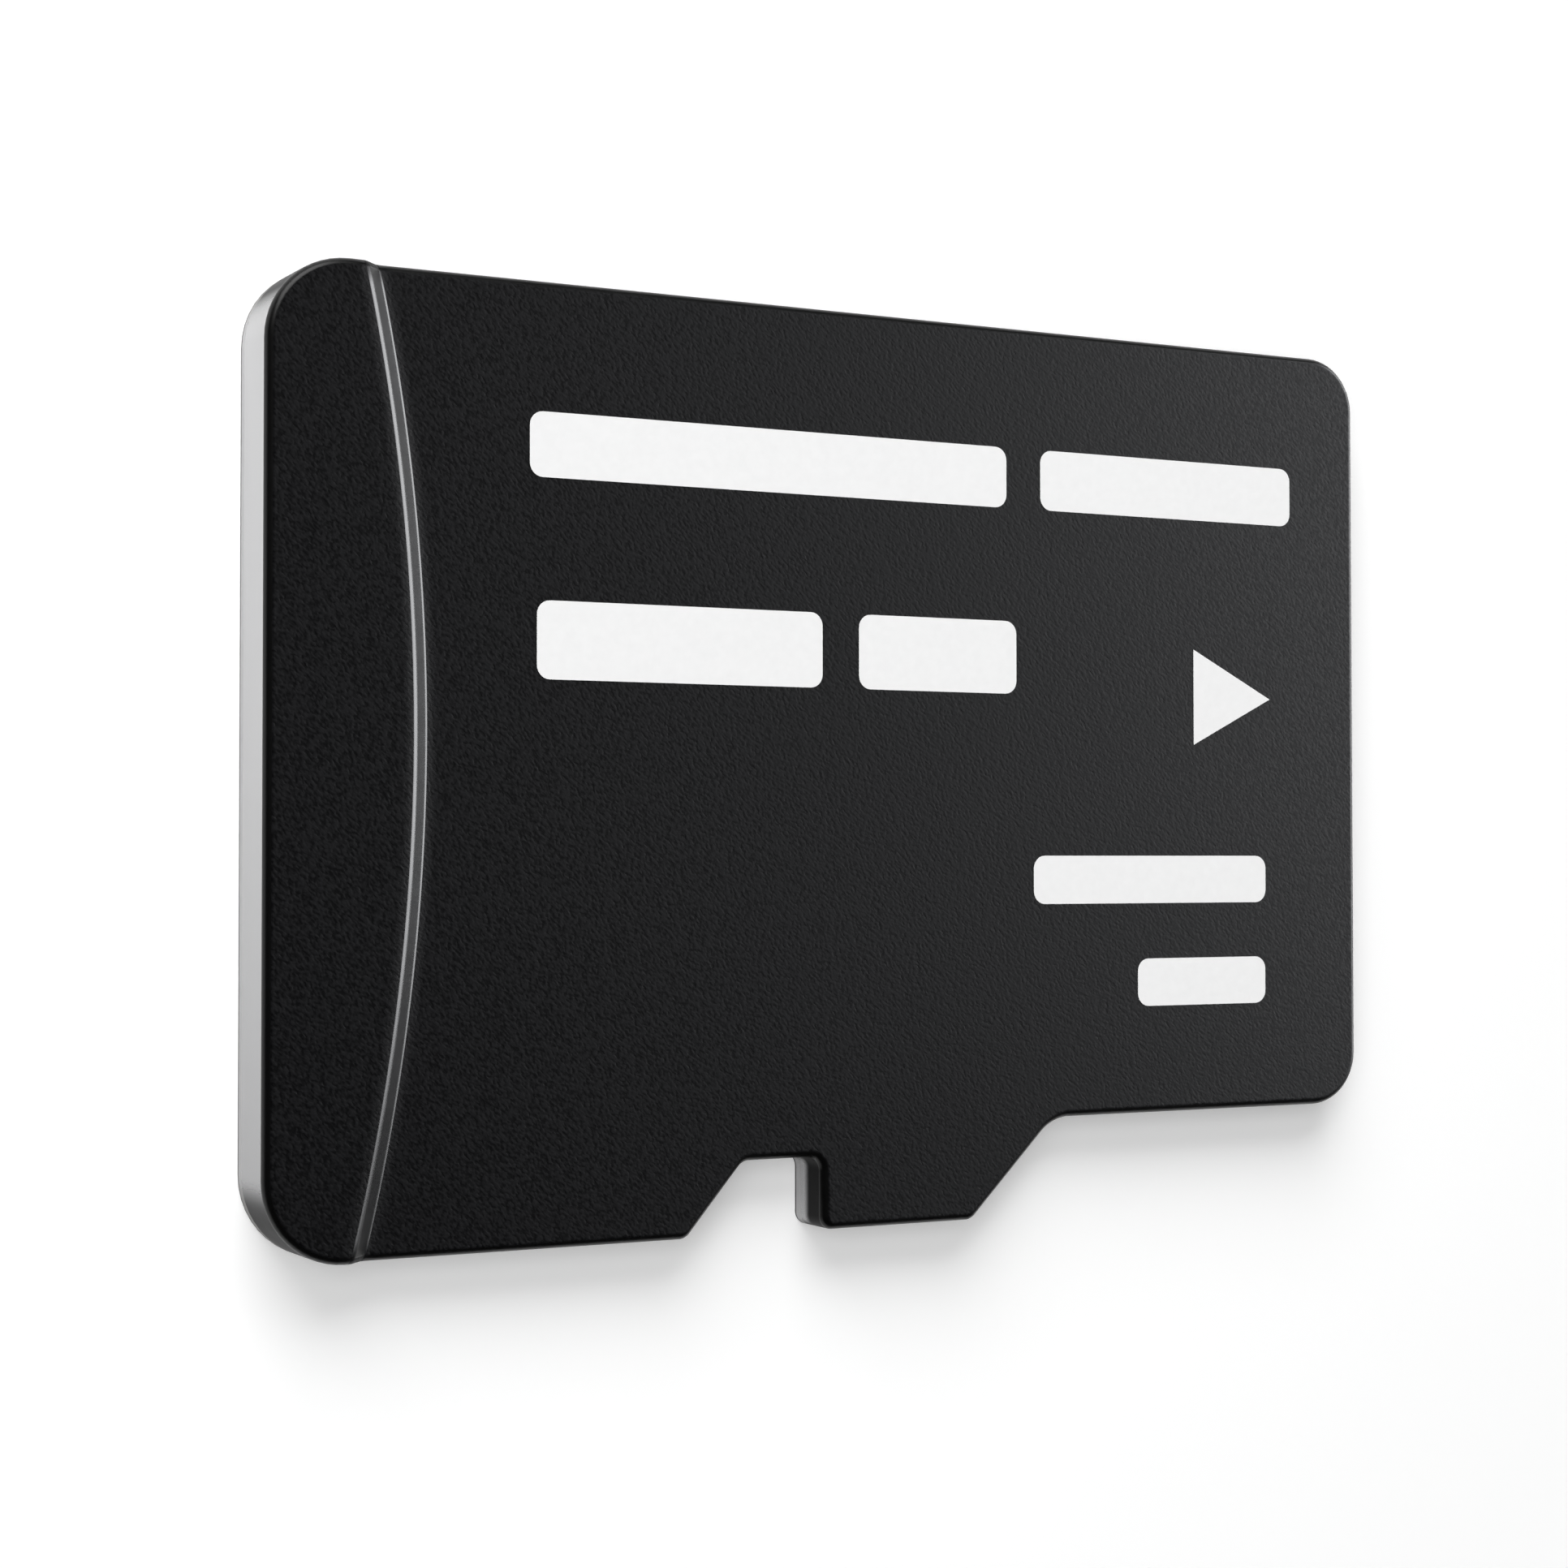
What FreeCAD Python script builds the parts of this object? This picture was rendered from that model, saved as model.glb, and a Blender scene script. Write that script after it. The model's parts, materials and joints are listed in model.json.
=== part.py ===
import FreeCAD, Part
import os
import re
import Sketcher
from FreeCAD import Vector

# A flash memory card lying on its contact side. +X is the contact end, which enters the slot first, -Y is the
# notched edge and +Z the printed face. The origin is on the back face, under the middle of the card.

# Each driving size: its name, its value in millimetres or degrees, and what it measures
SIZES = [
    ("card_length", 15.0, "butt end to contact end"),
    ("card_width", 11.0, "straight edge to notched edge"),
    ("main_thickness", 0.70, "back face to printed face"),
    ("grip_thickness", 0.90, "back face to the top of the finger grip"),
    ("shoulder_depth", 1.20, "how much narrower the contact end is, all on the notched edge"),
    ("shoulder_length", 4.75, "contact end to the inner end of the shoulder's ramp"),
    ("shoulder_angle", 45.0, "shoulder's ramp against the card's length"),
    ("notch_setback", 8.05, "contact end to the notch's upright wall"),
    ("notch_floor", 1.04, "length of the notch's floor"),
    ("notch_depth", 0.87, "notched edge to the notch's floor"),
    ("notch_angle", 49.3, "notch's ramp against the card's length"),
    ("grip_corner", 0.95, "radius of the two corners of the butt end"),
    ("contact_end_corner", 0.68, "radius of the two corners of the contact end"),
    ("shoulder_corner", 0.55, "radius inside the shoulder"),
    ("tooth_corner", 0.16, "radius of the outer corners beside the notch and shoulder"),
    ("notch_corner", 0.17, "radius of the inner corners of the notch"),
    ("ridge_setback", 1.72, "butt end to the crown of the finger ridge, at the middle of its bow"),
    ("ridge_offset", 0.29, "centre line to the middle of the bow, towards the straight edge"),
    ("ridge_radius", 23.5, "radius of the ridge's bow, at its crown"),
    ("ridge_angle", 45.0, "slope of the ridge"),
    ("crown_round", 0.12, "radius along the ridge's crown"),
    ("foot_round", 0.06, "radius along the ridge's foot"),
    ("front_round", 0.10, "radius round the front edge"),
    ("board_thickness", 0.13, "thickness of the laminate"),
    ("contact_pitch", 1.10, "spacing of the contacts"),
    ("contact_width", 0.80, "width of a contact"),
    ("contact_length", 2.90, "length of a signal contact"),
    ("contact_setback", 1.10, "contact end to the signal contacts"),
    ("power_lead", 0.30, "how much further the supply and ground contacts reach"),
    ("contact_thickness", 0.02, "plated copper of a contact"),
    ("contact_corner", 0.15, "radius of a contact's corners"),
    ("mask_depth", 0.015, "how far the contacts lie below the back face"),
    ("side_margin", 0.60, "moulding beside the memory stack"),
    ("butt_margin", 1.20, "moulding between the butt end and the memory stack"),
    ("memory_thickness", 0.05, "thickness of a memory die"),
    ("stack_step", 0.30, "ledge that each memory die leaves on the one below"),
    ("chip_gap", 1.20, "memory stack to controller"),
    ("controller_length", 2.00, "controller along the card"),
    ("controller_width", 3.20, "controller across the card"),
    ("controller_thickness", 0.08, "thickness of the controller"),
    ("controller_setback", 1.70, "contact end to controller"),
    ("capacitor_length", 0.60, "chip capacitor across the card"),
    ("capacitor_width", 0.30, "chip capacitor along the card"),
    ("capacitor_height", 0.30, "chip capacitor above the laminate"),
    ("capacitor_end", 0.13, "length of a capacitor's plated end"),
    ("plating_step", 0.01, "how far the plated ends stand proud of the ceramic"),
    ("capacitor_gap", 0.35, "controller to capacitors"),
    ("capacitor_pitch", 1.60, "spacing of the capacitors"),
    ("wire_thickness", 0.02, "bond wire, drawn square"),
    ("wire_foot", 0.06, "length of a bond on its pad"),
    ("wire_reach", 0.16, "controller's edge to a bond on either side of it"),
    ("loop_height", 0.06, "rise of a wire's loop over its higher bond"),
    ("memory_wires", 9, "wires down the memory stack"),
    ("memory_wire_pitch", 0.80, "spacing of the wires down the stack"),
    ("controller_wires", 5, "wires on each side of the controller"),
    ("controller_wire_pitch", 0.38, "spacing of the controller's wires"),
]
NAMES = {name for name, number, meaning in SIZES}

# The contacts in order from the notched edge
CONTACTS = ["data_2", "data_3", "command", "supply", "clock", "ground", "data_0", "data_1"]
POWER_CONTACTS = {"supply", "ground"}
MEMORY_DIES = 4
CAPACITORS = 4

# How near two points must be to count as the same, in millimetres
SAME_PLACE = 1e-4
# How far a face's normal must rise, of 1, for the face to count as part of the top
UPWARD = 0.5

# Places worked out from the sizes
BUTT_END = "-card_length / 2"
CONTACT_END = "card_length / 2"
NOTCHED_EDGE = "-card_width / 2"
STRAIGHT_EDGE = "card_width / 2"
NOTCH_WALL = f"{CONTACT_END} - notch_setback"
NOTCH_TOP = f"{NOTCHED_EDGE} + notch_depth"
NOTCH_RAMP_TOP = f"{NOTCH_WALL} - notch_floor"
SHOULDER_EDGE = f"{NOTCHED_EDGE} + shoulder_depth"
SHOULDER_TOP = f"{CONTACT_END} - shoulder_length"
NARROW_MIDDLE = "shoulder_depth / 2"
RIDGE_AXIS = f"{BUTT_END} + ridge_setback - ridge_radius"

# The memory stack fills the room between the butt end and the controller, clear of the notch and shoulder
CONTROLLER_START = f"{CONTACT_END} - controller_setback - controller_length"
STACK_LOW = f"{NOTCHED_EDGE} + max(notch_depth; shoulder_depth) + side_margin"
STACK_WIDTH = "card_width - max(notch_depth; shoulder_depth) - 2 * side_margin"
LOWEST_DIE_START = f"{BUTT_END} + butt_margin + {MEMORY_DIES - 1} * stack_step"
LOWEST_DIE_END = f"{CONTROLLER_START} - chip_gap"
MEMORY_LENGTH = f"{LOWEST_DIE_END} - ({LOWEST_DIE_START})"

# The card's outline, anticlockwise from the butt end: x, y and the size that rounds each corner
OUTLINE = [
    (BUTT_END, NOTCHED_EDGE, "grip_corner"),
    (f"{NOTCH_RAMP_TOP} - notch_depth / tan(notch_angle)", NOTCHED_EDGE, "tooth_corner"),
    (NOTCH_RAMP_TOP, NOTCH_TOP, "notch_corner"),
    (NOTCH_WALL, NOTCH_TOP, "notch_corner"),
    (NOTCH_WALL, NOTCHED_EDGE, "tooth_corner"),
    (f"{SHOULDER_TOP} - shoulder_depth / tan(shoulder_angle)", NOTCHED_EDGE, "tooth_corner"),
    (SHOULDER_TOP, SHOULDER_EDGE, "shoulder_corner"),
    (CONTACT_END, SHOULDER_EDGE, "contact_end_corner"),
    (CONTACT_END, STRAIGHT_EDGE, "contact_end_corner"),
    (BUTT_END, STRAIGHT_EDGE, "grip_corner"),
]

doc = FreeCAD.newDocument("memory_card")
sheet = doc.addObject("Spreadsheet::Sheet", "Sizes")


def fill_sheet():
    """Write every driving size into the sheet, under its own name."""
    for row, (name, number, meaning) in enumerate(SIZES, start=1):
        sheet.set(f"A{row}", meaning)
        sheet.set(f"B{row}", str(number))
        sheet.setAlias(f"B{row}", name)
    doc.recompute()


def cell(formula):
    """The formula with the name of each size pointed at its cell."""
    return re.sub(r"\w+", lambda word: f"Sizes.{word[0]}" if word[0] in NAMES else word[0], formula)


def bind(obj, formulas):
    """Tie an object's properties to formulas of the sizes."""
    for name, formula in formulas.items():
        obj.setExpression(name, cell(formula))


def polygon(body, name, plane, corners, offset):
    """A closed sketch on one of the body's planes, with every corner placed by two formulas.

    The corners start on a circle, and their constraints carry them to their places."""
    sketch = body.newObject("Sketcher::SketchObject", name)
    support = next(feature for feature in body.Origin.OriginFeatures if feature.Role == plane)
    sketch.AttachmentSupport = [(support, "")]
    sketch.MapMode = "FlatFace"
    bind(sketch, {f"AttachmentOffset.Base.{axis}": formula for axis, formula in offset.items()})
    circle = Part.Circle(Vector(), Vector(0, 0, 1), sheet.card_width)
    starts = circle.discretize(len(corners) + 1)
    for start, end in zip(starts, starts[1:]):
        sketch.addGeometry(Part.LineSegment(start, end))
    for line in range(len(corners)):
        sketch.addConstraint(Sketcher.Constraint("Coincident", line, 2, (line + 1) % len(corners), 1))
    for line, (across, up) in enumerate(corners):
        begin = sketch.addConstraint(Sketcher.Constraint("DistanceX", -1, 1, line, 1, starts[line].x))
        sketch.addConstraint(Sketcher.Constraint("DistanceY", -1, 1, line, 1, starts[line].y))
        bind(sketch, {f"Constraints[{begin}]": across, f"Constraints[{begin + 1}]": up})
    doc.recompute()
    return sketch


def pad(body, name, sketch, length, side="One side"):
    """The sketch pushed up by a formula's length."""
    feature = body.newObject("PartDesign::Pad", name)
    feature.Profile = sketch
    feature.SideType = side
    bind(feature, {"Length": length})
    doc.recompute()
    return feature


def fillet(body, name, base, edges, radius):
    """The named edges of a feature, rounded by a formula's radius."""
    feature = body.newObject("PartDesign::Fillet", name)
    feature.Base = (base, edges)
    bind(feature, {"Radius": radius})
    doc.recompute()
    return feature


def upright_edges(feature, points):
    """Names of the feature's upright edges that stand on these points of its sketch."""
    names = []
    for number, edge in enumerate(feature.Shape.Edges, start=1):
        ends = [Vector(vertex.X, vertex.Y, 0) for vertex in edge.Vertexes]
        if any(all(end.distanceToPoint(point) < SAME_PLACE for end in ends) for point in points):
            names.append(f"Edge{number}")
    return names


def rim_edges(feature, lowest):
    """Names of the feature's edges, at a height or above it, where an upright wall turns into the top."""
    names = []
    for number, edge in enumerate(feature.Shape.Edges, start=1):
        middle = edge.valueAt((edge.FirstParameter + edge.LastParameter) / 2)
        faces = feature.Shape.ancestorsOfType(edge, Part.Face)
        rises = [abs(face.normalAt(*face.Surface.parameter(middle)).z) for face in faces]
        if edge.BoundBox.ZMin > lowest - SAME_PLACE and min(rises) < SAME_PLACE and max(rises) > UPWARD:
            names.append(f"Edge{number}")
    return names


def bowed_edge(feature, height):
    """Name of the ridge's bowed edge at a height. No other arc of the card is as wide as the card."""
    for number, edge in enumerate(feature.Shape.Edges, start=1):
        bowed = edge.Curve.TypeId == "Part::GeomCircle" and edge.Curve.Radius > sheet.card_width
        if bowed and abs(edge.Vertexes[0].Z - height) < SAME_PLACE:
            return [f"Edge{number}"]
    raise ValueError(f"the ridge has no edge at {height} mm")


def card_blank(label, bottom, thickness):
    """The card's outline as a flat plate with its corners rounded, and the last feature that made it."""
    body = doc.addObject("PartDesign::Body", label)
    outline = polygon(body, f"{label}_outline", "XY_Plane", [corner[:2] for corner in OUTLINE], {"z": bottom})
    feature = pad(body, f"{label}_plate", outline, thickness)
    for radius in dict.fromkeys(corner[2] for corner in OUTLINE):
        points = [
            line.StartPoint for line, corner in zip(outline.Geometry, OUTLINE) if corner[2] == radius
        ]
        feature = fillet(body, f"{label}_{radius}", feature, upright_edges(feature, points), radius)
    return body, feature


def moulding():
    """The black moulding: a plate as thick as the grip, cut down to the printed face behind a bowed ridge."""
    body, feature = card_blank("moulding", "board_thickness", "grip_thickness - board_thickness")
    ridge_foot = "ridge_radius + (grip_thickness - main_thickness) / tan(ridge_angle)"
    above = "2 * grip_thickness"
    beyond = "card_length + ridge_radius"
    profile = [
        (ridge_foot, "main_thickness"),
        (beyond, "main_thickness"),
        (beyond, above),
        ("ridge_radius", above),
        ("ridge_radius", "grip_thickness"),
    ]
    # The XZ plane faces -Y, so a place across the card changes sign
    sketch = polygon(body, "ridge_profile", "XZ_Plane", profile, {"x": RIDGE_AXIS, "z": "-ridge_offset"})
    plate_volume = feature.Shape.Volume
    groove = body.newObject("PartDesign::Groove", "printed_face")
    groove.Profile = sketch
    groove.ReferenceAxis = (sketch, ["V_Axis"])
    groove.Midplane = True
    bind(groove, {"Angle": "4 * asin(card_width / 2 / ridge_radius)"})
    doc.recompute()
    if groove.Shape.Volume > plate_volume - SAME_PLACE:
        raise ValueError("the printed face was not cut")
    foot = fillet(body, "ridge_foot", groove, bowed_edge(groove, sheet.main_thickness), "foot_round")
    # The front rounding runs over the crown, which can't be sharper than it
    crown_round = "max(crown_round; front_round)"
    crown = fillet(body, "ridge_crown", foot, bowed_edge(foot, sheet.grip_thickness), crown_round)
    fillet(body, "front_edge", crown, rim_edges(crown, sheet.main_thickness), "front_round")
    return body


def contact_plate(label, index, bottom, thickness):
    """One contact's rounded rectangle, from a height up. Power contacts reach nearer to the contact end."""
    lead = "power_lead" if CONTACTS[index] in POWER_CONTACTS else "0"
    end = f"{CONTACT_END} - contact_setback"
    middle = f"{NARROW_MIDDLE} + {index - (len(CONTACTS) - 1) / 2} * contact_pitch"
    near, far = f"{end} - contact_length", f"{end} + {lead}"
    low, high = f"{middle} - contact_width / 2", f"{middle} + contact_width / 2"
    body = doc.addObject("PartDesign::Body", label)
    corners = [(near, low), (far, low), (far, high), (near, high)]
    sketch = polygon(body, f"{label}_outline", "XY_Plane", corners, {"z": bottom})
    plate = pad(body, f"{label}_plate", sketch, thickness)
    points = [line.StartPoint for line in sketch.Geometry]
    fillet(body, f"{label}_corners", plate, upright_edges(plate, points), "contact_corner")
    return body


def box(label, length, width, height, x, y, z):
    """A rectangular block by its size and its lowest corner."""
    block = doc.addObject("Part::Box", label)
    bind(block, {"Length": length, "Width": width, "Height": height})
    bind(block, {"Placement.Base.x": x, "Placement.Base.y": y, "Placement.Base.z": z})
    return block


def joined(label, shapes):
    """Several solids as one."""
    union = doc.addObject("Part::MultiFuse", label)
    union.Shapes = shapes
    return union


def cut(label, base, tool):
    """One solid less another."""
    result = doc.addObject("Part::Cut", label)
    result.Base = base
    result.Tool = tool
    return result


def memory_die(level):
    """A thinned memory die. Each one is set back by a ledge on the one below."""
    start = f"{LOWEST_DIE_START} - {level} * stack_step"
    height = f"board_thickness + {level} * memory_thickness"
    label = f"memory_die_{level + 1}"
    return box(label, MEMORY_LENGTH, STACK_WIDTH, "memory_thickness", start, STACK_LOW, height)


def controller_die():
    """The controller, between the memory stack and the contact end."""
    low = f"{NARROW_MIDDLE} - controller_width / 2"
    size = ("controller_length", "controller_width", "controller_thickness")
    return box("controller_die", *size, CONTROLLER_START, low, "board_thickness")


def capacitor(index):
    """A chip capacitor: a ceramic block between two plated ends that stand a little proud of it."""
    label = f"capacitor_{index + 1}"
    start = f"{CONTACT_END} - controller_setback + capacitor_gap"
    middle = f"{NARROW_MIDDLE} + {index - (CAPACITORS - 1) / 2} * capacitor_pitch"
    low = f"{middle} - capacitor_length / 2"
    base = "board_thickness"
    plated = ("capacitor_width", "capacitor_end", "capacitor_height")
    bare = ("capacitor_width - 2 * plating_step", "capacitor_length", "capacitor_height - 2 * plating_step")
    inner = f"{low} + capacitor_length - capacitor_end"
    pieces = [
        box(f"{label}_first_end", *plated, start, low, base),
        box(f"{label}_second_end", *plated, start, inner, base),
        box(f"{label}_ceramic", *bare, f"{start} + plating_step", low, f"{base} + plating_step"),
    ]
    return joined(label, pieces)


def wire_profile(feet):
    """Side view of a wire that steps down from foot to foot, with a loop peaking halfway between two feet."""
    under = []
    for (place, height), following in zip(feet, feet[1:] + [None]):
        under += [(f"{place} - wire_foot / 2", height), (f"{place} + wire_foot / 2", height)]
        if following:
            peak = f"max({height}; {following[1]}) + loop_height"
            under.append((f"({place} + {following[0]}) / 2", peak))
    over = [(place, f"{height} + wire_thickness") for place, height in reversed(under)]
    return under + over


def wire_row(body, name, plane, feet, first, count, pitch):
    """A row of equal wires, side by side along the normal of their plane."""
    sketch = polygon(body, f"{name}_profile", plane, wire_profile(feet), {"z": first})
    wire = pad(body, f"{name}_wire", sketch, "wire_thickness", "Symmetric")
    row = body.newObject("PartDesign::LinearPattern", f"{name}_row")
    row.Originals = [wire]
    row.Direction = (sketch, ["N_Axis"])
    bind(row, {"Length": f"({count} - 1) * {pitch}", "Occurrences": count})
    body.Tip = row
    doc.recompute()


def bond_wires():
    """Wires down the ledges of the memory stack to the laminate, and from both sides of the controller."""
    body = doc.addObject("PartDesign::Body", "bond_wires")
    levels = reversed(range(-1, MEMORY_DIES))
    stack_feet = [
        (
            f"{LOWEST_DIE_END} - {level + 0.5} * stack_step",
            f"board_thickness + {level + 1} * memory_thickness",
        )
        for level in levels
    ]
    # The XZ plane faces -Y, so places across the card change sign
    first = f"-({STACK_LOW}) - ({STACK_WIDTH}) / 2 - (memory_wires - 1) / 2 * memory_wire_pitch"
    wire_row(body, "stack", "XZ_Plane", stack_feet, first, "memory_wires", "memory_wire_pitch")

    low_edge = f"{NARROW_MIDDLE} - controller_width / 2"
    high_edge = f"{NARROW_MIDDLE} + controller_width / 2"
    top = "board_thickness + controller_thickness"
    low_feet = [(f"{low_edge} - wire_reach", "board_thickness"), (f"{low_edge} + wire_reach", top)]
    high_feet = [(f"{high_edge} - wire_reach", top), (f"{high_edge} + wire_reach", "board_thickness")]
    middle = f"{CONTROLLER_START} + controller_length / 2"
    first = f"{middle} - (controller_wires - 1) / 2 * controller_wire_pitch"
    row = (first, "controller_wires", "controller_wire_pitch")
    wire_row(body, "low_side", "YZ_Plane", low_feet, *row)
    wire_row(body, "high_side", "YZ_Plane", high_feet, *row)
    return body


def build():
    """Every sub-part of the card, each one a document object whose label names it."""
    dies = [memory_die(level) for level in range(MEMORY_DIES)]
    chips = [*dies, controller_die(), *(capacitor(index) for index in range(CAPACITORS)), bond_wires()]
    moulded_body = cut("moulded_body", moulding(), joined("buried_parts", chips))

    window_depth = "mask_depth + contact_thickness"
    contacts, windows = [], []
    for index, name in enumerate(CONTACTS):
        contacts.append(contact_plate(f"contact_{name}", index, "mask_depth", "contact_thickness"))
        windows.append(contact_plate(f"window_{name}", index, "0", window_depth))
    laminate, last_feature = card_blank("laminate", "0", "board_thickness")
    substrate_board = cut("substrate_board", laminate, joined("contact_windows", windows))
    doc.recompute()
    return [moulded_body, substrate_board, *contacts, *chips]


def check(sub_parts):
    """Stop if any object failed, or if a sub-part has no sound shape."""
    failed = [item.Label for item in doc.Objects if {"Invalid", "Error"} & set(item.State)]
    unsound = [item.Label for item in sub_parts if item.Shape.isNull() or not item.Shape.isValid()]
    if failed or unsound:
        raise RuntimeError(f"failed objects {failed}, unsound sub-parts {unsound}")


fill_sheet()
sub_parts = build()
check(sub_parts)
os.makedirs("parts", exist_ok=True)
for sub_part in sub_parts:
    sub_part.Shape.exportStep(f"parts/{sub_part.Label}.step")
    solids = len(sub_part.Shape.Solids)
    print(f"{sub_part.Label}: {solids} solid(s), {sub_part.Shape.Volume:.4f} mm3")
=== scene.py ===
# A memory card on its back: grained black moulding, bowed finger ridge and white ink, on a white floor.
import json
import math

import bmesh
import bpy
import numpy
from mathutils import Matrix, Vector


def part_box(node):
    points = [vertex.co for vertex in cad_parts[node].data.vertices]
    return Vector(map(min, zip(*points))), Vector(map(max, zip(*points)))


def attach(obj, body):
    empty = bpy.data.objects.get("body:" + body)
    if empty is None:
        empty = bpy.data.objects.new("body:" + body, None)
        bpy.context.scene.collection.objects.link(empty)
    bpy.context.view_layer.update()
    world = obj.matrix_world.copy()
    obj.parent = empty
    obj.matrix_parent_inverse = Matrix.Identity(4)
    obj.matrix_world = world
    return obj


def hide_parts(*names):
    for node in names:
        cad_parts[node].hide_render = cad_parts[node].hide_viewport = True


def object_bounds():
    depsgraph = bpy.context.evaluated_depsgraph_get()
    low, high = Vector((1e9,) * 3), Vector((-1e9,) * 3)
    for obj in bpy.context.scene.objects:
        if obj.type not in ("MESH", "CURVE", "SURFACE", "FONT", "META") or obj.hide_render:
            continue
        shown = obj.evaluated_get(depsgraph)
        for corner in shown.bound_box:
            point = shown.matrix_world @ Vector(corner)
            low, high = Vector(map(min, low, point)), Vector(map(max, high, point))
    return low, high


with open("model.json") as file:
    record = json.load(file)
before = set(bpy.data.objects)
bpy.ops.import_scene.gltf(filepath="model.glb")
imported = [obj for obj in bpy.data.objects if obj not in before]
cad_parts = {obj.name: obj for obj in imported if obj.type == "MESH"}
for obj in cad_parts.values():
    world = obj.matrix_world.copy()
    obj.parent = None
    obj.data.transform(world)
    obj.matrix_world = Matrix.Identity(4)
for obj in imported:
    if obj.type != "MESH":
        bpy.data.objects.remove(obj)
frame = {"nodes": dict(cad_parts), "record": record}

MM = 0.001
cad_low, cad_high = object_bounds()

# Places in millimetres that the frame gives: the card's four edges, its seam with the laminate and its top
BUTT_END = cad_low.x / MM
CONTACT_END = cad_high.x / MM
NOTCHED_EDGE = cad_low.y / MM
PLAIN_EDGE = cad_high.y / MM
GRIP_TOP = cad_high.z / MM
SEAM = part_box("substrate_board")[1].z / MM

# Sizes of the moulding in millimetres, the same as in the part's source
MAIN_TOP = 0.70
SHOULDER_DEPTH = 1.20
SHOULDER_LENGTH = 4.75
NOTCH_SETBACK = 8.05
NOTCH_FLOOR = 1.04
NOTCH_DEPTH = 0.87
NOTCH_ANGLE = math.radians(49.3)
GRIP_CORNER = 0.95
CONTACT_CORNER = 0.68
SHOULDER_CORNER = 0.55
TOOTH_CORNER = 0.16
NOTCH_CORNER = 0.17
RIDGE_SETBACK = 1.72
RIDGE_OFFSET = 0.29
RIDGE_RADIUS = 23.5
RIDGE_ANGLE = math.radians(45)
CROWN_ROUND = 0.12
FOOT_ROUND = 0.06
FRONT_ROUND = 0.10

# The ridge's roundings leave the flats gently, on a larger radius, up to this slope
RIDGE_LEAD_RADIUS = 0.7
RIDGE_LEAD_ANGLE = math.radians(10)

# How finely curves are drawn, and the angles that tell walls and sharp edges
CORNER_STEPS = 14
RIDGE_STEPS = 72
LEAD_STEPS = 4
ROUND_STEPS = 6
SHARP_ANGLE = math.radians(40)
WALL_TILT = 0.02

# The ridge is bowed about an upright axis behind the butt end, with its crown on the grip
RIDGE_AXIS = BUTT_END + RIDGE_SETBACK - RIDGE_RADIUS
FOOT_RADIUS = RIDGE_RADIUS + (GRIP_TOP - MAIN_TOP) / math.tan(RIDGE_ANGLE)

# Places along the notched edge
NOTCH_WALL = CONTACT_END - NOTCH_SETBACK
SHOULDER = CONTACT_END - SHOULDER_LENGTH
STEPPED_EDGE = NOTCHED_EDGE + SHOULDER_DEPTH
NOTCH_BED = NOTCHED_EDGE + NOTCH_DEPTH
RAMP_TOP = NOTCH_WALL - NOTCH_FLOOR
RAMP_END = RAMP_TOP - NOTCH_DEPTH / math.tan(NOTCH_ANGLE)


def linear(code):
    """A colour written as an sRGB hex value, turned to the linear colour that shaders take."""
    parts = [int(code[i:i + 2], 16) / 255 for i in (1, 3, 5)]
    return [p / 12.92 if p <= 0.04045 else ((p + 0.055) / 1.055) ** 2.4 for p in parts] + [1.0]


def set_up(tree, node, settings, links):
    """Settings name a node's own options or its sockets, and links join other nodes' outputs to it."""
    for name, value in settings.items():
        if isinstance(name, str) and hasattr(node, name):
            setattr(node, name, value)
        else:
            node.inputs[name].default_value = value
    for name, source in links.items():
        tree.links.new(source, node.inputs[name])


def add(tree, kind, settings, links):
    """Adds a node with its settings and links."""
    made = tree.nodes.new(kind)
    set_up(tree, made, settings, links)
    return made


def noise(tree, place, size, detail):
    """Cloudy noise with patches of about the given size in millimetres."""
    made = add(tree, "ShaderNodeTexNoise", {"Scale": 1 / (size * MM), "Detail": detail}, {"Vector": place})
    return made.outputs["Fac"]


def spread(tree, value, at_start, at_stop, start=0.0, stop=1.0, smooth=False):
    """A number that goes from at_start to at_stop while a value goes from start to stop."""
    settings = {"interpolation_type": "SMOOTHSTEP" if smooth else "LINEAR",
                "From Min": start, "From Max": stop, "To Min": at_start, "To Max": at_stop}
    return add(tree, "ShaderNodeMapRange", settings, {"Value": value}).outputs["Result"]


def maths(tree, operation, first, second=0.0):
    """One sum on two values, the second of which may be a plain number."""
    if isinstance(second, float):
        made = add(tree, "ShaderNodeMath", {"operation": operation, 1: second}, {0: first})
    else:
        made = add(tree, "ShaderNodeMath", {"operation": operation}, {0: first, 1: second})
    return made.outputs["Value"]


def blend(tree, factor, first, second):
    """A mix of two colours, each an sRGB hex value or another node's output."""
    made = add(tree, "ShaderNodeMix", {"data_type": "RGBA"}, {"Factor": factor})
    for socket, colour in ((made.inputs[6], first), (made.inputs[7], second)):
        if isinstance(colour, str):
            socket.default_value = linear(colour)
        else:
            tree.links.new(colour, socket)
    return made.outputs[2]


def parts_of(tree, place):
    """The x, y and z of a place."""
    return add(tree, "ShaderNodeSeparateXYZ", {}, {"Vector": place}).outputs


def new_material(name):
    """A new material with its node tree, its Principled shader and the place on the object."""
    made = bpy.data.materials.new(name)
    made.use_nodes = True
    tree = made.node_tree
    place = add(tree, "ShaderNodeTexCoord", {}, {}).outputs["Object"]
    return made, tree, tree.nodes["Principled BSDF"], place


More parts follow.
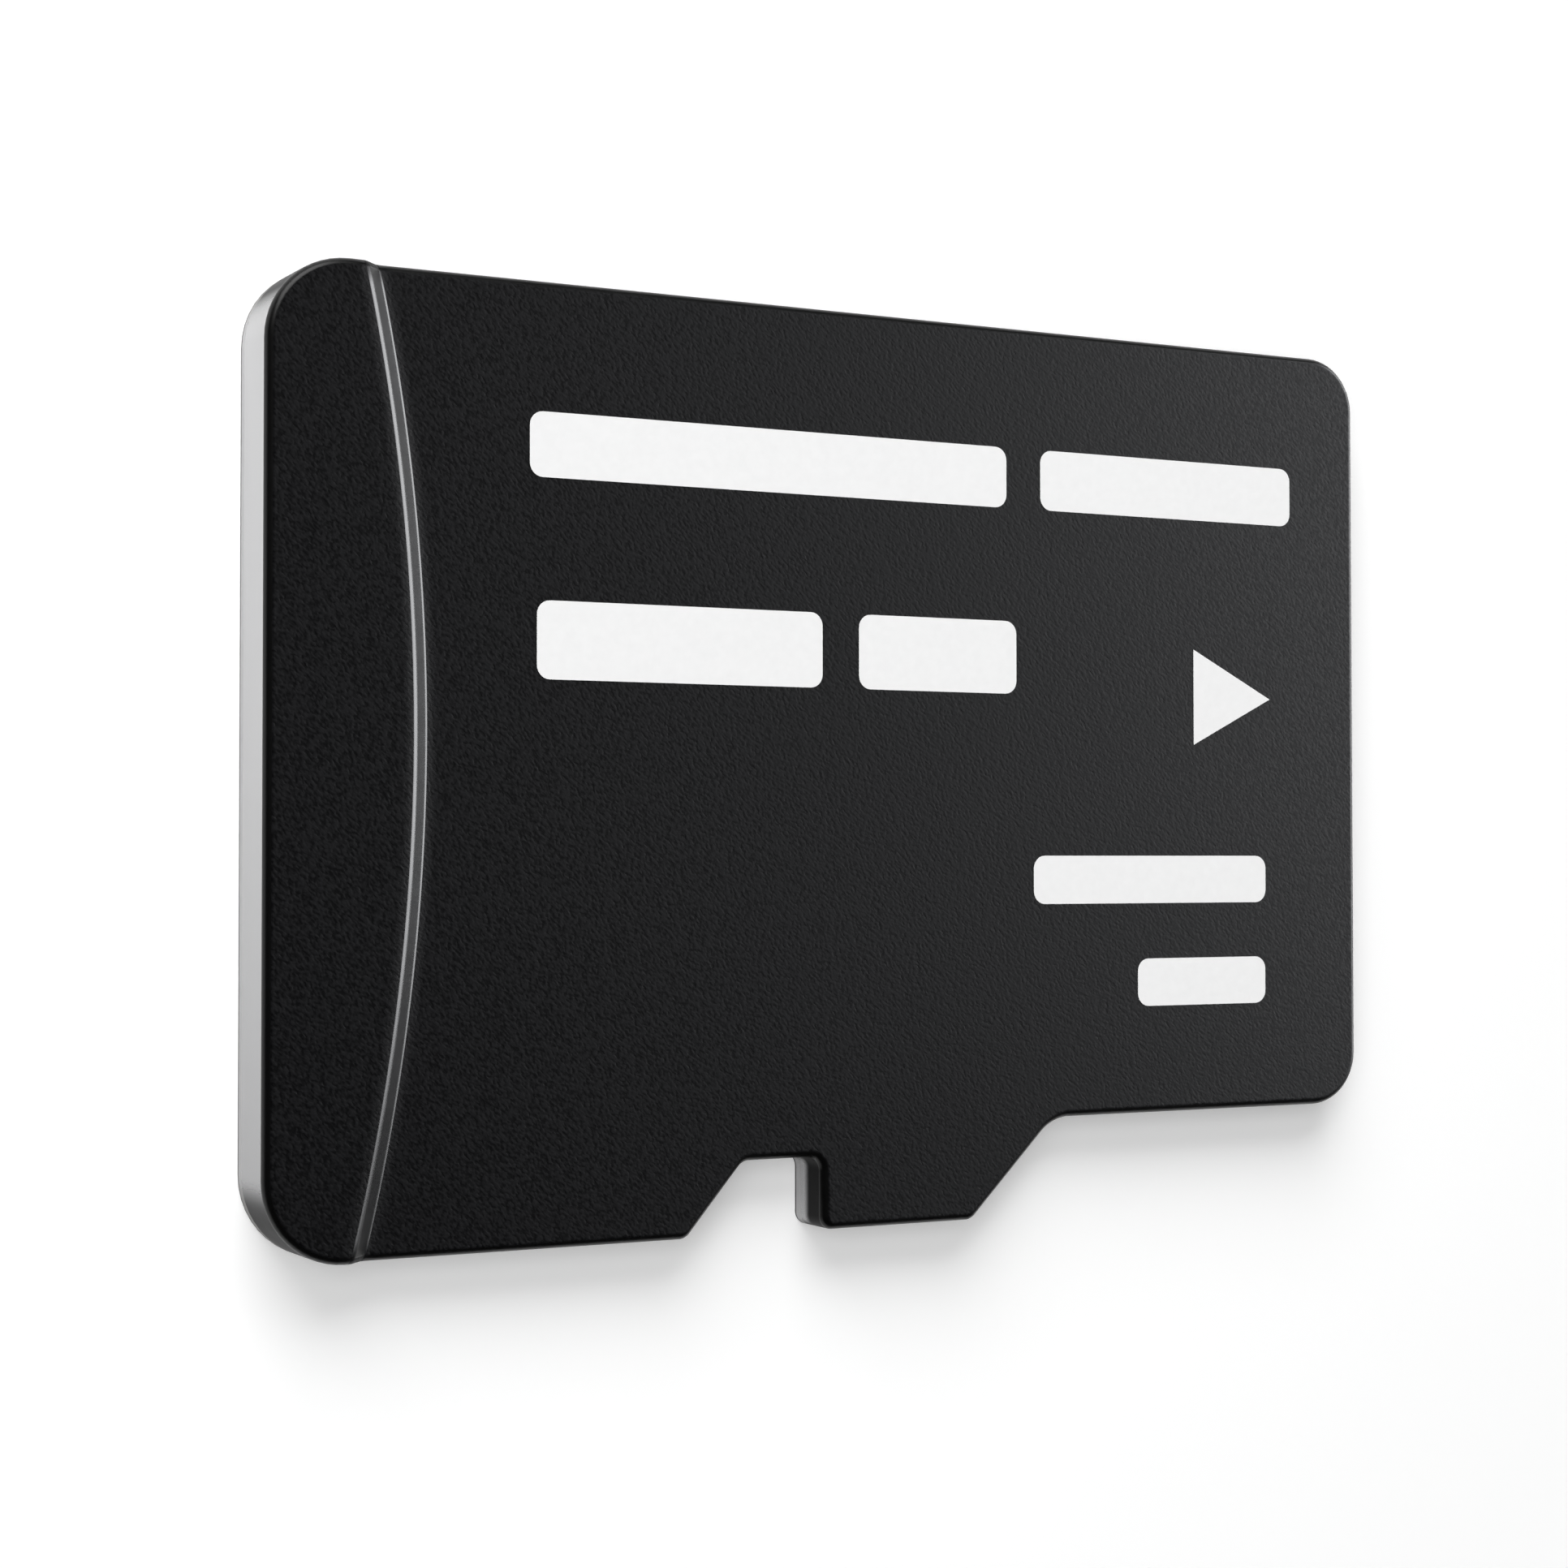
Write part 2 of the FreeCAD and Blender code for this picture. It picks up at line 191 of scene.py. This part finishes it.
def grained_moulding():
    """Black epoxy moulding compound from a spark-eroded mould: dull, with short slanting grains whose tips
    catch light and whose pits are painted darker, as painted shade, cut deepest at the grip."""
    made, tree, shader, place = new_material("black_moulding_grained")
    grain_width = 0.017 * MM
    grain_slant = math.radians(-42)
    grain_stretch = 1.4
    grip_depth = 0.0037 * MM
    main_depth = 0.0028 * MM
    slanting = add(tree, "ShaderNodeMapping",
                   {"vector_type": "TEXTURE", "Rotation": (0, 0, grain_slant),
                    "Scale": (grain_stretch, 1, 1)},
                   {"Vector": place}).outputs["Vector"]
    grain = add(tree, "ShaderNodeTexNoise",
                {"Scale": 1 / (2 * grain_width), "Detail": 0.0, "Distortion": 0.35},
                {"Vector": slanting}).outputs["Fac"]
    depth = spread(tree, parts_of(tree, place)["X"], grip_depth, main_depth, BUTT_END * MM, 0.0)
    bump = add(tree, "ShaderNodeBump", {"Strength": 1.0}, {"Height": grain, "Distance": depth})
    tips = spread(tree, grain, 0.0, 1.0, 0.3, 0.7)
    # Painted shade: the base colour is darker in the grain's pits than on its tips
    set_up(tree, shader, {"Specular IOR Level": 0.11},
           {"Base Color": blend(tree, tips, "#030304", "#0a0a0c"),
            "Roughness": spread(tree, tips, 0.385, 0.54),
            "Normal": bump.outputs["Normal"]})
    return made


# How far from the card's long edges the ridge's reflection begins to be painted darker, as painted shade, in
# millimetres, and what is left of it
RIDGE_FADE = 0.30
RIDGE_GLOSS_LEFT = 0.12


def satin_moulding():
    """The same compound where the mould was lapped to a satin: soft bright lines along the ridge's
    roundings. Towards the card's long edges a specular tint paints their reflection darker, as painted
    shade."""
    made, tree, shader, place = new_material("black_moulding_satin")
    outward = maths(tree, "ABSOLUTE", parts_of(tree, place)["Y"])
    # Painted shade: the specular tint dims the ridge's reflection towards the long edges
    painted_gloss_fade = spread(tree, outward, 1.0, RIDGE_GLOSS_LEFT, (PLAIN_EDGE - RIDGE_FADE) * MM,
                   (PLAIN_EDGE - FRONT_ROUND) * MM, smooth=True)
    rub = noise(tree, place, size=0.3, detail=4.0)
    set_up(tree, shader, {"Base Color": linear("#060607"), "IOR": 1.65},
           {"Specular Tint": painted_gloss_fade, "Roughness": spread(tree, rub, 0.28, 0.38)})
    return made


def polished_moulding():
    """The same compound where the mould was polished: a deep gloss black along the rounded edges."""
    made, tree, shader, place = new_material("black_moulding_polished")
    rub = noise(tree, place, size=0.4, detail=4.0)
    set_up(tree, shader, {"Base Color": linear("#030303"), "IOR": 1.35},
           {"Roughness": spread(tree, rub, 0.28, 0.36)})
    return made


# The butt end is painted as a bright reflection, a silver metal mask set by place. It fades round its
# corners, and sooner towards the notched edge, which is painted shade.
PAINTED_REFLECTION_TONE = "#b5b5b6"
PAINTED_REFLECTION_LEAN = 0.0088
PAINTED_REFLECTION_FADE = 0.22
PAINTED_REFLECTION_CORNER = 0.36
PAINTED_REFLECTION_CORNER_LEFT = 0.2

# The foot of the notch's upright wall has some of that painted reflection, up to these heights in
# millimetres
NOTCH_PAINTED_REFLECTION = 0.8
NOTCH_PAINTED_REFLECTION_FADE = 0.08
NOTCH_PAINTED_REFLECTION_LOW = 0.22
NOTCH_PAINTED_REFLECTION_HIGH = 0.36


def painted_reflection_mask(tree, place):
    """How bright the painted reflection is: one on the flat of the butt end, nothing on most other walls."""
    start = BUTT_END - PAINTED_REFLECTION_LEAN * (PLAIN_EDGE - GRIP_CORNER)
    along = add(tree, "ShaderNodeVectorMath", {"operation": "DOT_PRODUCT", 1: (1.0, -PAINTED_REFLECTION_LEAN, 0.0)},
                {0: place}).outputs["Value"]
    lengthwise = spread(tree, along, 1.0, 0.0, start * MM, (start + PAINTED_REFLECTION_FADE) * MM, smooth=True)
    x, y, z = parts_of(tree, place)
    # Painted shade: the painted reflection fades sooner round the corner at the notched edge
    corner = NOTCHED_EDGE + GRIP_CORNER
    crosswise = spread(tree, y, PAINTED_REFLECTION_CORNER_LEFT, 1.0, (corner - PAINTED_REFLECTION_CORNER) * MM, corner * MM,
                       smooth=True)
    butt = maths(tree, "MULTIPLY", lengthwise, crosswise)

    # Painted reflection at the foot of the notch's upright wall, low down
    beside = maths(tree, "ABSOLUTE", maths(tree, "SUBTRACT", x, NOTCH_WALL * MM))
    on_wall = spread(tree, beside, NOTCH_PAINTED_REFLECTION, 0.0, 0.0, NOTCH_PAINTED_REFLECTION_FADE * MM, smooth=True)
    low = spread(tree, z, 1.0, 0.0, NOTCH_PAINTED_REFLECTION_LOW * MM, NOTCH_PAINTED_REFLECTION_HIGH * MM, smooth=True)
    in_notch = maths(tree, "LESS_THAN", y, (NOTCH_BED + NOTCH_CORNER) * MM)
    notch = maths(tree, "MULTIPLY", maths(tree, "MULTIPLY", on_wall, low), in_notch)
    return maths(tree, "MAXIMUM", butt, notch)


def wall_with_painted_reflection():
    """The moulding's side walls: satin black, with a painted reflection where a bright metal mask makes them
    mirror the floor.
    """
    made, tree, shader, place = new_material("black_moulding_wall_painted_reflection")
    # Painted reflection: bright silver metal on the butt end and the notch wall's foot, set by place
    painted_shine = painted_reflection_mask(tree, place)
    rub = spread(tree, noise(tree, place, size=0.3, detail=3.0), 0.0, 0.08)
    set_up(tree, shader, {"Specular IOR Level": 0.05},
           {"Base Color": blend(tree, painted_shine, "#060607", PAINTED_REFLECTION_TONE),
            "Metallic": painted_shine,
            "Roughness": maths(tree, "ADD", rub, spread(tree, painted_shine, 0.36, 0.10))})
    return made


def masked_laminate():
    """Black solder mask on glass-epoxy laminate: satin with a slight orange peel, and a paler fibrous cut
    edge, which carries the walls' painted reflection where they are painted bright."""
    made, tree, shader, place = new_material("laminate_masked_black")
    # The mask is drawn twice as thick as it is on the cut edge, where it would be too fine to see
    mask_shown = 0.03 * MM
    peel_depth = 0.005 * MM
    fibre_squeeze = 12.0
    peel = noise(tree, place, size=0.25, detail=2.0)
    bump = add(tree, "ShaderNodeBump", {"Strength": 0.2, "Distance": peel_depth}, {"Height": peel})
    core = maths(tree, "GREATER_THAN", parts_of(tree, place)["Z"], mask_shown)
    layers = add(tree, "ShaderNodeMapping", {"Scale": (1.0, 1.0, fibre_squeeze)}, {"Vector": place})
    fibres = noise(tree, layers.outputs["Vector"], size=0.2, detail=3.0)
    # Painted reflection: the cut edge turns to bright silver metal beside the walls' painted reflection
    painted_shine = maths(tree, "MULTIPLY", painted_reflection_mask(tree, place), core)
    cut_edge = blend(tree, painted_shine, blend(tree, fibres, "#4b4946", "#615f5a"), PAINTED_REFLECTION_TONE)
    set_up(tree, shader, {},
           {"Base Color": blend(tree, core, "#0b0d0c", cut_edge),
            "Metallic": painted_shine,
            "Roughness": spread(tree, peel, 0.28, 0.40),
            "Normal": bump.outputs["Normal"]})
    return made


def gold_plate():
    """Hard gold plate on copper: satin, with faint lengthwise wipe marks from the slot's springs."""
    made, tree, shader, place = new_material("gold_plate_satin")
    wipe_squeeze = 0.06
    along = add(tree, "ShaderNodeMapping", {"Scale": (wipe_squeeze, 1.0, 1.0)}, {"Vector": place})
    wipe = noise(tree, along.outputs["Vector"], size=0.08, detail=3.0)
    set_up(tree, shader, {"Base Color": linear("#e2b75c"), "Metallic": 1.0},
           {"Roughness": spread(tree, wipe, 0.22, 0.40)})
    return made


def silicon():
    """Thinned silicon: dark blue-grey and bright, ground on the back."""
    made, tree, shader, place = new_material("silicon_ground")
    grind = noise(tree, place, size=0.1, detail=3.0)
    set_up(tree, shader, {"Base Color": linear("#5a5f68"), "Metallic": 0.8},
           {"Roughness": spread(tree, grind, 0.12, 0.28)})
    return made


def chip_ceramic():
    """Fired chip ceramic: matt brown with fine mottling."""
    made, tree, shader, place = new_material("chip_ceramic_fired")
    mottle = noise(tree, place, size=0.06, detail=3.0)
    set_up(tree, shader, {"Roughness": 0.6}, {"Base Color": blend(tree, mottle, "#8a6a4c", "#a8845f")})
    return made


def gold_wire():
    """Drawn gold wire: bright, with fine die lines."""
    made, tree, shader, place = new_material("gold_wire_drawn")
    lines = noise(tree, place, size=0.01, detail=2.0)
    set_up(tree, shader, {"Base Color": linear("#eac063"), "Metallic": 1.0},
           {"Roughness": spread(tree, lines, 0.12, 0.25)})
    return made


def white_ink():
    """Pad-printed white ink: opaque and matt, a little uneven where it fills the grain."""
    made, tree, shader, place = new_material("white_ink_printed")
    cover = noise(tree, place, size=0.11, detail=3.0)
    set_up(tree, shader, {"Roughness": 0.7, "Specular IOR Level": 0.2},
           {"Base Color": blend(tree, cover, "#f4f4f4", "#fbfbfb")})
    return made


# The floor's lift near the card and far from it, and the distances in millimetres between which it rises
LIFT_NEAR = 0.20
LIFT_FAR = 1.0
LIFT_START = 14
LIFT_STOP = 60


def white_floor():
    """White card sheet under the object, lifted a little for camera and mirror rays so that it shows as
    white, and more so far from the card, where the lamps don't reach."""
    made, tree, shader, place = new_material("white_floor")
    away = add(tree, "ShaderNodeVectorMath", {"operation": "LENGTH"}, {0: place}).outputs["Value"]
    lift = spread(tree, away, LIFT_NEAR, LIFT_FAR, LIFT_START * MM, LIFT_STOP * MM, smooth=True)
    ray = add(tree, "ShaderNodeLightPath", {}, {}).outputs
    seen = maths(tree, "MAXIMUM", ray["Is Camera Ray"], ray["Is Glossy Ray"])
    set_up(tree, shader,
           {"Base Color": linear("#f6f6f6"), "Roughness": 0.9, "Specular IOR Level": 0.0,
            "Emission Color": (1, 1, 1, 1)},
           {"Emission Strength": maths(tree, "MULTIPLY", lift, seen)})
    return made


def even_normals(bm):
    """A normal for each face corner that leans to the larger faces round it, so flats stay flat beside
    roundings."""
    weighted = {face: face.normal * face.calc_area() for face in bm.faces}
    normals = []
    for face in bm.faces:
        for corner in face.verts:
            round_it = [other for other in corner.link_faces
                        if other.normal.angle(face.normal) < SHARP_ANGLE]
            normals.append(sum((weighted[other] for other in round_it), Vector()).normalized())
    return normals


def finish_piece(bm, name, materials, stands_for=()):
    """Turns a shape drawn in millimetres into a piece that rides on the card."""
    bmesh.ops.recalc_face_normals(bm, faces=bm.faces)
    for face in bm.faces:
        face.smooth = True
    normals = even_normals(bm)
    bmesh.ops.scale(bm, vec=(MM, MM, MM), verts=bm.verts)
    mesh = bpy.data.meshes.new(name)
    bm.to_mesh(mesh)
    bm.free()
    mesh.normals_split_custom_set(normals)
    for material in materials:
        mesh.materials.append(material)
    piece = bpy.data.objects.new(name, mesh)
    bpy.context.scene.collection.objects.link(piece)
    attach(piece, "root")
    if stands_for:
        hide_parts(*stands_for)


def round_corner(bm, corner, radius, steps):
    """Rounds one corner of a flat outline to a radius."""
    first, second = [edge.other_vert(corner).co - corner.co for edge in corner.link_edges]
    reach = radius / math.tan(first.angle(second) / 2)
    bmesh.ops.bevel(bm, geom=[corner], offset=reach, segments=steps, profile=0.5, affect="VERTICES",
                    material=-1)


def straighten(bm):
    """Puts each point's distance from the ridge's axis in place of its x, which makes the ridge straight."""
    for point in bm.verts:
        point.co.x = math.hypot(point.co.x - RIDGE_AXIS, point.co.y - RIDGE_OFFSET)


def bow(bm):
    """Takes a straightened shape back to its place along the card."""
    for point in bm.verts:
        point.co.x = RIDGE_AXIS + math.sqrt(point.co.x ** 2 - (point.co.y - RIDGE_OFFSET) ** 2)


def easing(radius):
    """A rounding that leaves a flat gently and turns down to the ridge's slope, as pairs of run and drop."""
    points = []
    run, drop, last = 0.0, 0.0, 0.0
    turns = [(RIDGE_LEAD_RADIUS, RIDGE_LEAD_ANGLE * step / LEAD_STEPS) for step in range(LEAD_STEPS + 1)]
    turns += [(radius, RIDGE_LEAD_ANGLE + (RIDGE_ANGLE - RIDGE_LEAD_ANGLE) * (step + 1) / ROUND_STEPS)
              for step in range(ROUND_STEPS)]
    for arc_radius, tilt in turns:
        run += arc_radius * (math.sin(tilt) - math.sin(last))
        drop += arc_radius * (math.cos(last) - math.cos(tilt))
        last = tilt
        points.append((run, drop))
    return points


def ridge_profile():
    """Points across the ridge from the grip to the main face: radius about the ridge's axis, and height."""
    crown, foot = easing(CROWN_ROUND), easing(FOOT_ROUND)
    crown_run, crown_drop = crown[-1]
    foot_run, foot_drop = foot[-1]
    start = RIDGE_RADIUS + crown_drop / math.tan(RIDGE_ANGLE) - crown_run
    stop = FOOT_RADIUS - foot_drop / math.tan(RIDGE_ANGLE) + foot_run
    upper = [(start + run, GRIP_TOP - drop) for run, drop in crown]
    lower = [(stop - run, MAIN_TOP + drop) for run, drop in reversed(foot)]
    return upper + lower


# The moulding's finishes, in the order of its material slots
GRAINED, SATIN, POLISHED, WALL = range(4)


def is_wall(face):
    return abs(face.normal.z) < WALL_TILT


def is_level(face):
    return face.normal.z > math.cos(RIDGE_LEAD_ANGLE)


# The card's outline: x, y and the radius that rounds each corner
OUTLINE = [
    (BUTT_END, PLAIN_EDGE, GRIP_CORNER),
    (BUTT_END, NOTCHED_EDGE, GRIP_CORNER),
    (RAMP_END, NOTCHED_EDGE, TOOTH_CORNER),
    (RAMP_TOP, NOTCH_BED, NOTCH_CORNER),
    (NOTCH_WALL, NOTCH_BED, NOTCH_CORNER),
    (NOTCH_WALL, NOTCHED_EDGE, TOOTH_CORNER),
    (SHOULDER - SHOULDER_DEPTH, NOTCHED_EDGE, TOOTH_CORNER),
    (SHOULDER, STEPPED_EDGE, SHOULDER_CORNER),
    (CONTACT_END, STEPPED_EDGE, CONTACT_CORNER),
    (CONTACT_END, PLAIN_EDGE, CONTACT_CORNER),
]


def moulding():
    """The moulding as one closed shell: its outline cut in strips along the ridge, raised, rounded along its
    front edge, and then lifted to the ridge's profile."""
    bm = bmesh.new()
    corners = [bm.verts.new((x, y, SEAM)) for x, y, _ in OUTLINE]
    bm.faces.new(corners)
    for corner, (_, _, radius) in zip(corners, OUTLINE):
        round_corner(bm, corner, radius, CORNER_STEPS)
    straighten(bm)
    radii, heights = zip(*ridge_profile())
    strays = [point for point in bm.verts if radii[0] < point.co.x < radii[-1]]
    lines = []
    for radius in radii:
        cut = bmesh.ops.bisect_plane(bm, geom=[*bm.verts, *bm.edges, *bm.faces], plane_co=(radius, 0, 0),
                                     plane_no=(1, 0, 0))
        lines += [part for part in cut["geom_cut"] if isinstance(part, bmesh.types.BMEdge)]
    bmesh.ops.dissolve_verts(bm, verts=strays)
    bmesh.ops.subdivide_edges(bm, edges=lines, cuts=RIDGE_STEPS - 1, use_grid_fill=True)
    bow(bm)

    raised = bmesh.ops.extrude_face_region(bm, geom=bm.faces[:])["geom"]
    for point in raised:
        if isinstance(point, bmesh.types.BMVert):
            point.co.z = MAIN_TOP
    bmesh.ops.recalc_face_normals(bm, faces=bm.faces)
    front_edges = [edge for edge in bm.edges
                   if any(is_wall(face) for face in edge.link_faces)
                   and any(is_level(face) for face in edge.link_faces)]
    bmesh.ops.bevel(bm, geom=front_edges, offset=FRONT_ROUND, segments=ROUND_STEPS, profile=0.5,
                    affect="EDGES", loop_slide=True, material=-1)
    bm.normal_update()
    straighten(bm)
    steep_start, steep_stop = radii[LEAD_STEPS], radii[-1 - LEAD_STEPS]
    for face in bm.faces:
        on_ridge = steep_start < face.calc_center_median().x < steep_stop
        if is_wall(face):
            face.material_index = WALL
        elif is_level(face):
            face.material_index = SATIN if on_ridge else GRAINED
        else:
            face.material_index = GRAINED if on_ridge else POLISHED
    for point in bm.verts:
        if point.co.z > (SEAM + MAIN_TOP) / 2:
            point.co.z += numpy.interp(point.co.x, radii, heights) - MAIN_TOP
    bow(bm)
    finishes = [grained_moulding(), satin_moulding(), polished_moulding(), wall_with_painted_reflection()]
    finish_piece(bm, "card_moulding", finishes, ["moulded_body"])


# White print, in millimetres on the main face: plain bars as (left, right, foot, head), and one arrow
INK_RISE = 0.004
INK_CORNER = 0.16
INK_BARS = [
    (-4.34, 2.05, 3.25, 4.00),
    (2.55, 6.43, 3.25, 4.00),
    (-4.25, -0.55, 0.95, 1.85),
    (-0.05, 2.19, 0.95, 1.85),
    (2.44, 6.01, -1.65, -1.05),
    (4.00, 6.00, -2.95, -2.35),
]
ARROW = [(4.88, 0.37), (6.09, 0.98), (4.88, 1.59)]


def printed_ink():
    """The print as thin films of ink on the main face, sunk a hair into it."""
    bm = bmesh.new()
    base = MAIN_TOP - INK_RISE
    for left, right, foot, head in INK_BARS:
        places = ((left, foot), (right, foot), (right, head), (left, head))
        corners = [bm.verts.new((x, y, base)) for x, y in places]
        bm.faces.new(corners)
        for corner in corners:
            round_corner(bm, corner, INK_CORNER, ROUND_STEPS)
    bm.faces.new([bm.verts.new((x, y, base)) for x, y in ARROW])
    raised = bmesh.ops.extrude_face_region(bm, geom=bm.faces[:])["geom"]
    bmesh.ops.translate(bm, vec=(0, 0, 2 * INK_RISE),
                        verts=[part for part in raised if isinstance(part, bmesh.types.BMVert)])
    finish_piece(bm, "printed_ink", [white_ink()])


def dress_nodes():
    """Finishes for the CAD nodes that stay: laminate, contacts and what the moulding encloses."""
    finish = {
        "masked_laminate": masked_laminate(),
        "gold_plate": gold_plate(),
        "silicon": silicon(),
        "chip_ceramic": chip_ceramic(),
        "gold_wire": gold_wire(),
    }
    for subpart in frame["record"]["subparts"]:
        if subpart["material_slot"] in finish:
            materials = frame["nodes"][subpart["node"]].data.materials
            materials.clear()
            materials.append(finish[subpart["material_slot"]])


# The floor reaches this far to each side of the card, and lies a hair below it, in millimetres
FLOOR_REACH = 100
FLOOR_GAP = 0.001


def floor():
    bm = bmesh.new()
    bmesh.ops.create_grid(bm, x_segments=1, y_segments=1, size=FLOOR_REACH * MM)
    bmesh.ops.translate(bm, vec=(0, 0, -FLOOR_GAP * MM), verts=bm.verts)
    mesh = bpy.data.meshes.new("floor")
    bm.to_mesh(mesh)
    bm.free()
    mesh.materials.append(white_floor())
    sheet = bpy.data.objects.new("floor", mesh)
    bpy.context.scene.collection.objects.link(sheet)


def softbox(name, towards, zenith, distance, width, height, radiance):
    """A soft lamp aimed at the card, sized in millimetres. Towards is its compass angle from +X to +Y, and
    zenith its angle from overhead."""
    lamp = bpy.data.lights.new(name, "AREA")
    lamp.shape = "RECTANGLE"
    lamp.size = width * MM
    lamp.size_y = height * MM
    lamp.energy = radiance * math.pi * lamp.size * lamp.size_y
    made = bpy.data.objects.new(name, lamp)
    made.visible_camera = False
    turn, tilt = math.radians(towards), math.radians(zenith)
    back = Vector((math.cos(turn) * math.sin(tilt), math.sin(turn) * math.sin(tilt), math.cos(tilt)))
    aim = back.to_track_quat("Z", "Y").to_matrix().to_4x4()
    made.matrix_world = Matrix.Translation(back * distance * MM) @ aim
    bpy.context.scene.collection.objects.link(made)
    return made


# How bright the surroundings are to every ray, and what the camera sees on top of that
WORLD_DIM = 0.03
WORLD_SEEN = 0.97


def lights():
    """A key lamp from the upper left, a soft fill, and a panel on the right that only shows as a gleam."""
    softbox("key", towards=108, zenith=57, distance=180, width=145, height=130, radiance=5.5)
    panel = softbox("panel", towards=13, zenith=62, distance=160, width=125, height=140, radiance=8.5)
    panel.visible_diffuse = False
    panel.data.color = (0.97, 0.98, 1.0)
    fill = softbox("fill", towards=180, zenith=30, distance=200, width=160, height=160, radiance=3.0)
    fill.visible_glossy = False
    world = bpy.data.worlds.new("studio")
    world.use_nodes = True
    tree = world.node_tree
    ray = add(tree, "ShaderNodeLightPath", {}, {}).outputs
    strength = spread(tree, ray["Is Camera Ray"], WORLD_DIM, WORLD_DIM + WORLD_SEEN)
    set_up(tree, tree.nodes["Background"], {"Color": (1, 1, 1, 1)}, {"Strength": strength})
    bpy.context.scene.world = world


# The camera as fitted to the photograph, in millimetres, with the photograph's upward direction
CAMERA_PLACE = Vector((-17.3997, -1.1052, 31.1424))
CAMERA_LOOK = Vector((0.47248765, 0.02612451, -0.88095002))
CAMERA_UP = Vector((-0.01181936, 0.99965852, 0.02330562))
CAMERA_NEAR = 1.0
LENS = 67.04


def camera():
    lens = bpy.data.cameras.new("camera")
    lens.lens = LENS
    lens.clip_start = CAMERA_NEAR * MM
    made = bpy.data.objects.new("camera", lens)
    turn = Matrix((CAMERA_LOOK.cross(CAMERA_UP), CAMERA_UP, -CAMERA_LOOK)).transposed()
    made.matrix_world = Matrix.Translation(CAMERA_PLACE * MM) @ turn.to_4x4()
    bpy.context.scene.collection.objects.link(made)
    bpy.context.scene.camera = made


moulding()
printed_ink()
dress_nodes()
floor()
lights()
camera()
bpy.context.scene.view_settings.view_transform = "Standard"
